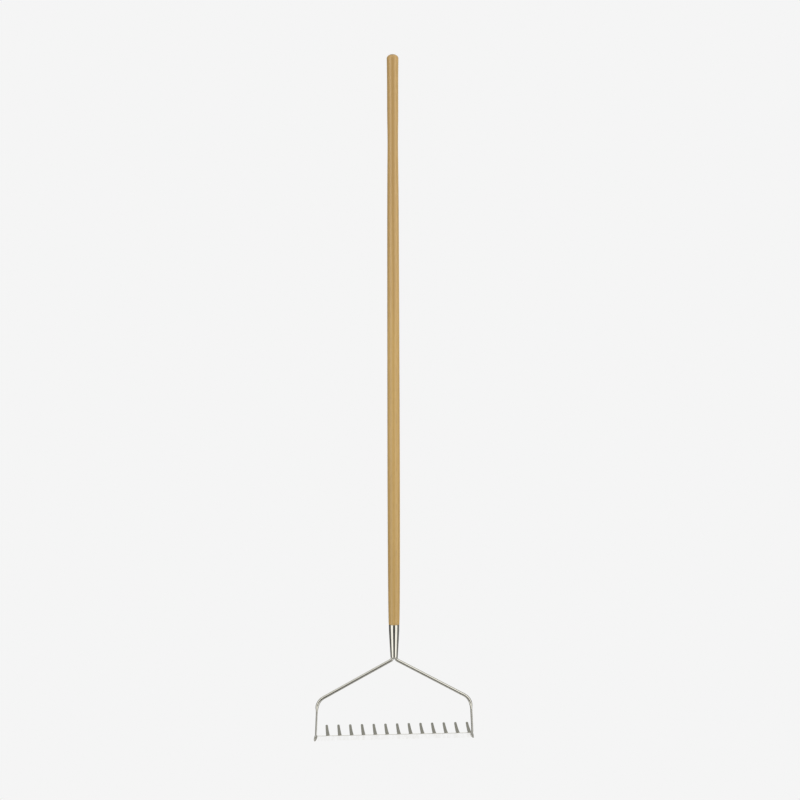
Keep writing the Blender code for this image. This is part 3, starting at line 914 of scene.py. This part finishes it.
def ash_material():
    """Oiled ash: growth rings, open pores, fine fibres, painted shade down the middle of the shaft, and
    darker towards the top.
    """
    material, shader, nodes, where = new_material("ash_oiled")
    split = nodes.add("ShaderNodeSeparateXYZ", {0: where})
    x, y, z = split.outputs

    sway = nodes.noise(nodes.scaled(where, SWAY_SCALE))
    drift = nodes.math("MULTIPLY_ADD", z, PITH_LEAN, PITH_X)
    across = nodes.math("SUBTRACT", x, drift)
    behind = nodes.math("SUBTRACT", y, PITH_Y)
    across_squared = nodes.math("MULTIPLY", across, across)
    behind_squared = nodes.math("MULTIPLY", behind, behind)
    radius = nodes.math("SQRT", nodes.math("ADD", across_squared, behind_squared))
    waved = nodes.math("MULTIPLY_ADD", sway, RING_SWAY, radius)
    phase = nodes.math("DIVIDE", waved, RING_WIDTH)
    ring = nodes.math("FRACT", phase)
    year = nodes.add("ShaderNodeTexWhiteNoise", {"W": nodes.math("FLOOR", phase)}, noise_dimensions="1D")

    early = nodes.math("MULTIPLY", nodes.step(ring, *EARLY_RISE), nodes.step(ring, *EARLY_FALL, 1.0, 0.0))
    late = nodes.step(ring, *LATE_RISE)
    fibres = nodes.noise(nodes.scaled(where, FIBRE_SCALE), detail=3.0)
    streaks = nodes.noise(nodes.scaled(where, STREAK_SCALE), detail=3.0)
    pores = nodes.step(nodes.noise(nodes.scaled(where, PORE_SCALE), detail=1.0), *PORE_FADE)
    open_share = nodes.math("MULTIPLY_ADD", early, 1.0 - PORES_IN_LATE_WOOD, PORES_IN_LATE_WOOD)
    open_pores = nodes.math("MULTIPLY", pores, open_share)
    clouds = nodes.noise(nodes.scaled(where, CLOUD_SCALE), detail=3.0)
    # Painted shade: a darker band down the middle of the shaft, front and back alike, for the dip between
    # the sheens at its sides
    painted_shade_x = nodes.math("MULTIPLY_ADD", sway, PAINTED_SHADE_SWAY, PAINTED_SHADE_X)
    off_painted_shade = nodes.math("ABSOLUTE", nodes.math("SUBTRACT", x, painted_shade_x))
    near_painted_shade = nodes.step(off_painted_shade, *PAINTED_SHADE_FALL, WOOD_PAINTED_SHADE_SHARE, 0.0)
    painted_shade = nodes.math("MULTIPLY", near_painted_shade, nodes.step(z, *PAINTED_SHADE_RISE))

    tone = nodes.mix(nodes.step(clouds, *CLOUD_FADE), WOOD_TAN, WOOD_LIGHT)
    tone = nodes.mix(nodes.math("MULTIPLY", late, WOOD_LATE_SHARE), tone, WOOD_LATE)
    tone = nodes.mix(nodes.math("MULTIPLY", early, WOOD_EARLY_SHARE), tone, WOOD_EARLY)
    tone = nodes.mix(nodes.math("MULTIPLY", year.outputs["Value"], WOOD_WARM_SHARE), tone, WOOD_WARM)
    tone = nodes.mix(nodes.step(streaks, *STREAK_FADE, 0.0, WOOD_STREAK_SHARE), tone, WOOD_STREAK)
    tone = nodes.mix(nodes.step(fibres, *FIBRE_FADE, 0.0, WOOD_FIBRE_SHARE), tone, WOOD_EARLY)
    tone = nodes.mix(nodes.math("MULTIPLY", open_pores, WOOD_PORE_SHARE), tone, WOOD_PORE)
    tone = nodes.mix(painted_shade, tone, WOOD_PAINTED_SHADE)
    # darker towards the top of the handle
    tone = nodes.mix(nodes.step(z, *UPPER_DARK_RISE, 0.0, WOOD_UPPER_DARK_SHARE), tone, WOOD_UPPER_DARK)

    rough = nodes.math("MULTIPLY_ADD", fibres, FIBRE_ROUGHNESS, WOOD_ROUGHNESS)
    rough = nodes.math("MULTIPLY_ADD", open_pores, PORE_ROUGHNESS, rough)
    fibre_relief = nodes.math("MULTIPLY", fibres, FIBRE_HEIGHT)
    relief = nodes.math("MULTIPLY_ADD", open_pores, -PORE_DEPTH, fibre_relief)
    connect(nodes, shader, Base_Color=tone, Roughness=rough, Normal=nodes.bump(relief, *WOOD_BUMP))
    shader.inputs["IOR"].default_value = WOOD_IOR
    shader.inputs["Coat Weight"].default_value = WOOD_COAT
    shader.inputs["Coat Roughness"].default_value = WOOD_COAT_ROUGHNESS
    return material


def polished_material():
    """Mirror-polished stainless steel with hair scratches and faint wiping marks."""
    material, shader, nodes, where = new_material("steel_polished")
    marks = nodes.noise(nodes.scaled(where, MARK_SCALE), detail=3.0)
    hairs = nodes.noise(nodes.scaled(where, HAIR_SCALE))
    tone = nodes.mix(nodes.step(marks, *MARK_FADE), STEEL_LIGHT, STEEL_WARM)
    rough = nodes.math("MULTIPLY_ADD", marks, MARK_ROUGHNESS, STEEL_ROUGHNESS)
    rough = nodes.math("MULTIPLY_ADD", nodes.step(hairs, *HAIR_FADE), HAIR_ROUGHNESS, rough)
    connect(nodes, shader, Base_Color=tone, Roughness=rough, Normal=nodes.bump(hairs, *HAIR_BUMP))
    shader.inputs["Metallic"].default_value = 1.0
    return material


def satin_material():
    """Satin stainless steel, brushed along the tines, with a straw tint beside the welds."""
    material, shader, nodes, where = new_material("steel_satin")
    split = nodes.add("ShaderNodeSeparateXYZ", {0: where})
    brush = nodes.noise(nodes.scaled(where, BRUSH_SCALE), detail=3.0)
    blotches = nodes.noise(nodes.scaled(where, BLOTCH_SCALE), detail=3.0)
    from_bar = nodes.math("SUBTRACT", split.outputs["Y"], BAR_BACK_Y)
    heat = nodes.step(from_bar, *STRAW_FALL, STRAW_SHARE, 0.0)
    behind_bar = nodes.step(from_bar, *STRAW_RISE)
    tone = nodes.mix(nodes.step(brush, *BRUSH_FADE), SATIN_LIGHT, SATIN_DARK)
    tone = nodes.mix(nodes.step(blotches, *BLOTCH_FADE, 0.0, BLOTCH_SHARE), tone, SATIN_DULL)
    tone = nodes.mix(nodes.math("MULTIPLY", heat, behind_bar), tone, SATIN_STRAW)
    rough = nodes.math("MULTIPLY_ADD", brush, BRUSH_ROUGHNESS, SATIN_ROUGHNESS)
    connect(nodes, shader, Base_Color=tone, Roughness=rough, Normal=nodes.bump(brush, *BRUSH_BUMP))
    shader.inputs["Metallic"].default_value = 1.0
    return material


def weld_material():
    """Weld metal: duller than the steel around it, with a mottled oxide film."""
    material, shader, nodes, where = new_material("steel_weld")
    mottle = nodes.noise(nodes.scaled(where, MOTTLE_SCALE), detail=4.0, roughness=0.6)
    film = nodes.noise(nodes.scaled(where, FILM_SCALE))
    tone = nodes.mix(nodes.step(mottle, *MOTTLE_FADE), WELD_GREY, WELD_DARK)
    tone = nodes.mix(nodes.step(film, *FILM_FADE, 0.0, FILM_SHARE), tone, WELD_BROWN)
    rough = nodes.math("MULTIPLY_ADD", mottle, MOTTLE_ROUGHNESS, WELD_ROUGHNESS)
    connect(nodes, shader, Base_Color=tone, Roughness=rough, Normal=nodes.bump(mottle, *MOTTLE_BUMP))
    shader.inputs["Metallic"].default_value = 1.0
    return material


def studio_strength(nodes, direction):
    """Brightness of the studio in a direction: its softboxes, screens and dark gaps."""
    split = nodes.add("ShaderNodeSeparateXYZ", {0: direction})
    x, y, z = split.outputs
    sine = math.sin(CAMERA_AZIMUTH)
    cosine = math.cos(CAMERA_AZIMUTH)
    ahead = nodes.math("MULTIPLY_ADD", x, sine, nodes.math("MULTIPLY", y, -cosine))
    aside = nodes.math("MULTIPLY_ADD", x, cosine, nodes.math("MULTIPLY", y, sine))
    azimuth = nodes.math("ARCTAN2", nodes.math("ABSOLUTE", aside), ahead)
    elevation = nodes.math("ARCSINE", z)

    def between(value, low, high):
        low = math.radians(low)
        high = math.radians(high)
        rise = nodes.step(value, low - STUDIO_SOFTNESS, low + STUDIO_SOFTNESS)
        fall = nodes.step(value, high - STUDIO_SOFTNESS, high + STUDIO_SOFTNESS, 1.0, 0.0)
        return nodes.math("MULTIPLY", rise, fall)

    total = STUDIO_DARK
    for side, az_low, az_high, el_low, el_high, level in STUDIO_PATCHES:
        shape = nodes.math(
            "MULTIPLY", between(azimuth, az_low, az_high), between(elevation, el_low, el_high),
        )
        if side == RIGHT:
            shape = nodes.math("MULTIPLY", shape, nodes.math("GREATER_THAN", aside, 0.0))
        total = nodes.math("MULTIPLY_ADD", shape, level, total)
    return total


def make_world():
    """Flat pale studio to the camera, softboxes and dark gaps to the steel."""
    world = bpy.data.worlds.new("studio")
    bpy.context.scene.world = world
    world.use_nodes = True
    tree = world.node_tree
    tree.nodes.clear()
    nodes = Nodes(tree)
    direction = nodes.add("ShaderNodeTexCoord").outputs["Generated"]
    strength = studio_strength(nodes, direction)
    lit = nodes.add("ShaderNodeBackground", {"Color": (*STUDIO_TINT, 1.0), "Strength": strength})
    plain = nodes.add("ShaderNodeBackground", {"Color": (PALE, PALE, PALE, 1.0), "Strength": 1.0})
    seen = nodes.add("ShaderNodeLightPath").outputs["Is Camera Ray"]
    mixed = nodes.add("ShaderNodeMixShader", {0: seen, 1: lit.outputs[0], 2: plain.outputs[0]})
    nodes.add("ShaderNodeOutputWorld", {"Surface": mixed.outputs[0]})


def card_mask(nodes):
    """Where the floor is white to the steel: a card ahead of the bar, and a strip under it."""
    place_vector = nodes.add("ShaderNodeTexCoord").outputs["Object"]
    split = nodes.add("ShaderNodeSeparateXYZ", {0: place_vector})
    beside = nodes.math("LESS_THAN", nodes.math("ABSOLUTE", split.outputs["X"]), CARD_HALF_WIDTH)
    y = split.outputs["Y"]
    card_middle = BAR_FRONT_Y - 0.5 * CARD_DEPTH
    off_card = nodes.math("ABSOLUTE", nodes.math("SUBTRACT", y, card_middle))
    card = nodes.math("MULTIPLY", beside, nodes.math("LESS_THAN", off_card, 0.5 * CARD_DEPTH))
    grazing = nodes.add("ShaderNodeLayerWeight", {"Blend": 0.5}).outputs["Facing"]
    card = nodes.math("MULTIPLY", card, nodes.step(grazing, *CARD_GRAZING))
    bar_middle = 0.5 * (BAR_FRONT_Y + BAR_BACK_Y)
    off_bar = nodes.math("ABSOLUTE", nodes.math("SUBTRACT", y, bar_middle))
    strip = nodes.math("MULTIPLY", beside, nodes.math("LESS_THAN", off_bar, 0.5 * STRIP_DEPTH))
    return nodes.math("MAXIMUM", card, strip)


def make_floor():
    """Floor just under the head: pale to the camera, and clear to other rays except for its card."""
    bm = bmesh.new()
    bmesh.ops.create_grid(bm, x_segments=1, y_segments=1, size=FLOOR_HALF_SIZE)
    bmesh.ops.translate(bm, vec=(0, 0, -FLOOR_DROP), verts=bm.verts)
    floor = make_object("floor", bm)
    material = bpy.data.materials.new("pale_floor")
    material.use_nodes = True
    tree = material.node_tree
    tree.nodes.clear()
    nodes = Nodes(tree)
    pale = nodes.add("ShaderNodeEmission", {"Color": (PALE, PALE, PALE, 1.0), "Strength": 1.0})
    white = nodes.add("ShaderNodeEmission", {"Color": CARD_COLOUR, "Strength": 1.0})
    clear = nodes.add("ShaderNodeBsdfTransparent")
    card = card_mask(nodes)
    unseen = nodes.add("ShaderNodeMixShader", {0: card, 1: clear.outputs[0], 2: white.outputs[0]})
    seen = nodes.add("ShaderNodeLightPath").outputs["Is Camera Ray"]
    from_below = nodes.add("ShaderNodeNewGeometry").outputs["Backfacing"]
    from_above = nodes.math("SUBTRACT", 1.0, from_below)
    plain = nodes.math("MULTIPLY", seen, from_above)
    surface = nodes.add("ShaderNodeMixShader", {0: plain, 1: unseen.outputs[0], 2: pale.outputs[0]})
    nodes.add("ShaderNodeOutputMaterial", {"Surface": surface.outputs[0]})
    floor.data.materials.append(material)


def around(azimuth, elevation, distance):
    """Point at a bearing from the middle of the rake, with azimuth 0 in front of it."""
    centre = 0.5 * (CAD_BOX[0] + CAD_BOX[1])
    a = math.radians(azimuth)
    e = math.radians(elevation)
    away = Vector((math.sin(a) * math.cos(e), -math.cos(a) * math.cos(e), math.sin(e)))
    return centre + away * distance, centre


def make_lamps():
    """Large soft lamps that light the wood. Nothing mirrors them: the steel shows the studio."""
    for name, azimuth, elevation, distance, size, power in LAMPS:
        light = bpy.data.lights.new(name, "AREA")
        light.shape = "DISK"
        light.size = size
        light.energy = power
        light.color = STUDIO_TINT
        lamp = bpy.data.objects.new(name, light)
        bpy.context.scene.collection.objects.link(lamp)
        position, centre = around(azimuth, elevation, distance)
        lamp.location = position
        lamp.rotation_mode = "QUATERNION"
        lamp.rotation_quaternion = (centre - position).to_track_quat("-Z", "Y")
        lamp.visible_glossy = False
        lamp.visible_camera = False


def make_camera():
    """Long lens a little to the left of the rake, level with the middle of its handle."""
    data = bpy.data.cameras.new("camera")
    data.lens = CAMERA_LENS
    data.sensor_width = CAMERA_SENSOR
    data.clip_start = CAMERA_NEAR
    data.clip_end = CAMERA_FAR
    camera = bpy.data.objects.new("camera", data)
    bpy.context.scene.collection.objects.link(camera)
    position = Vector((
        CAMERA_DISTANCE * math.sin(CAMERA_AZIMUTH),
        -CAMERA_DISTANCE * math.cos(CAMERA_AZIMUTH),
        HEAD_Z + CAMERA_HEIGHT,
    ))
    aim = Vector((AIM_X, 0.0, HEAD_Z + AIM_HEIGHT))
    facing = (aim - position).to_track_quat("-Z", "Y").to_matrix()
    camera.matrix_world = (
        Matrix.Translation(position) @ (facing @ Matrix.Rotation(CAMERA_ROLL, 3, "Z")).to_4x4()
    )
    bpy.context.scene.camera = camera


def main():
    bpy.context.scene.view_settings.view_transform = "Standard"
    make_camera()
    make_world()
    make_floor()
    make_lamps()

    ash = ash_material()
    polished = polished_material()
    satin = satin_material()
    weld = weld_material()

    make_handle(ash)
    make_socket(polished)
    make_screw(satin)
    make_arm("bow_left", -1, polished, "arm_left")
    make_arm("bow_right", 1, polished, "arm_right")
    make_bar(polished)
    make_socket_weld(polished)
    make_foot_weld("foot_weld_left", -1, weld)
    make_foot_weld("foot_weld_right", 1, weld)
    for node in TINE_NODES:
        make_tine(node, satin)
        make_tine_weld(node, weld)


main()
bpy.context.view_layer.update()
